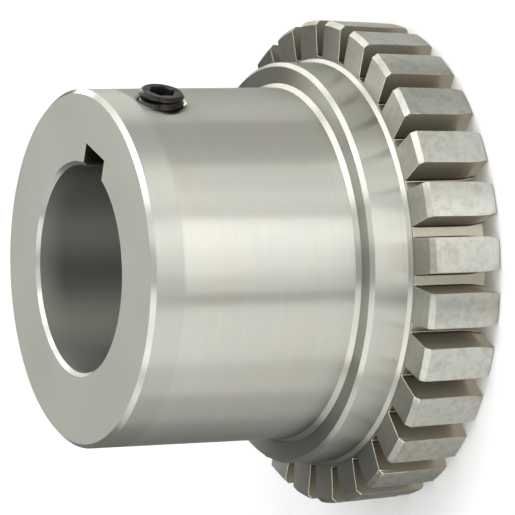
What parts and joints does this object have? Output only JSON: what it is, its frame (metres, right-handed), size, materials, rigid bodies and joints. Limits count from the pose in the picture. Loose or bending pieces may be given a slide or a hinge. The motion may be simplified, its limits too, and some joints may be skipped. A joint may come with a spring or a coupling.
{
  "type": "grid coupling hub",
  "caption": "Steel hub half of a grid coupling: toothed flange with flared slots, stepped seal land, plain barrel, keyed through bore and a radial set screw over the keyway.",
  "frame": {"origin": "centre of the bore in the toothed gap face, which the hub stands on", "axes": "+Z along the bore axis from the gap face to the plain end of the barrel; +X from the bore axis through the keyway and the set screw"},
  "size_m": [0.068, 0.068, 0.0475],
  "materials": {
    "machined_steel": "fine turned and milled",
    "black_oxide": "satin black oxide"
  },
  "bodies": {
    "hub": {"hub": "machined_steel"},
    "set_screw": {"set_screw": "black_oxide"}
  },
  "joints": [
    {"name": "set_screw_travel", "type": "slide", "parent": "hub", "child": "set_screw", "axis": [1, 0, 0], "range_m": [-0.0008, 0.003]}
  ]
}
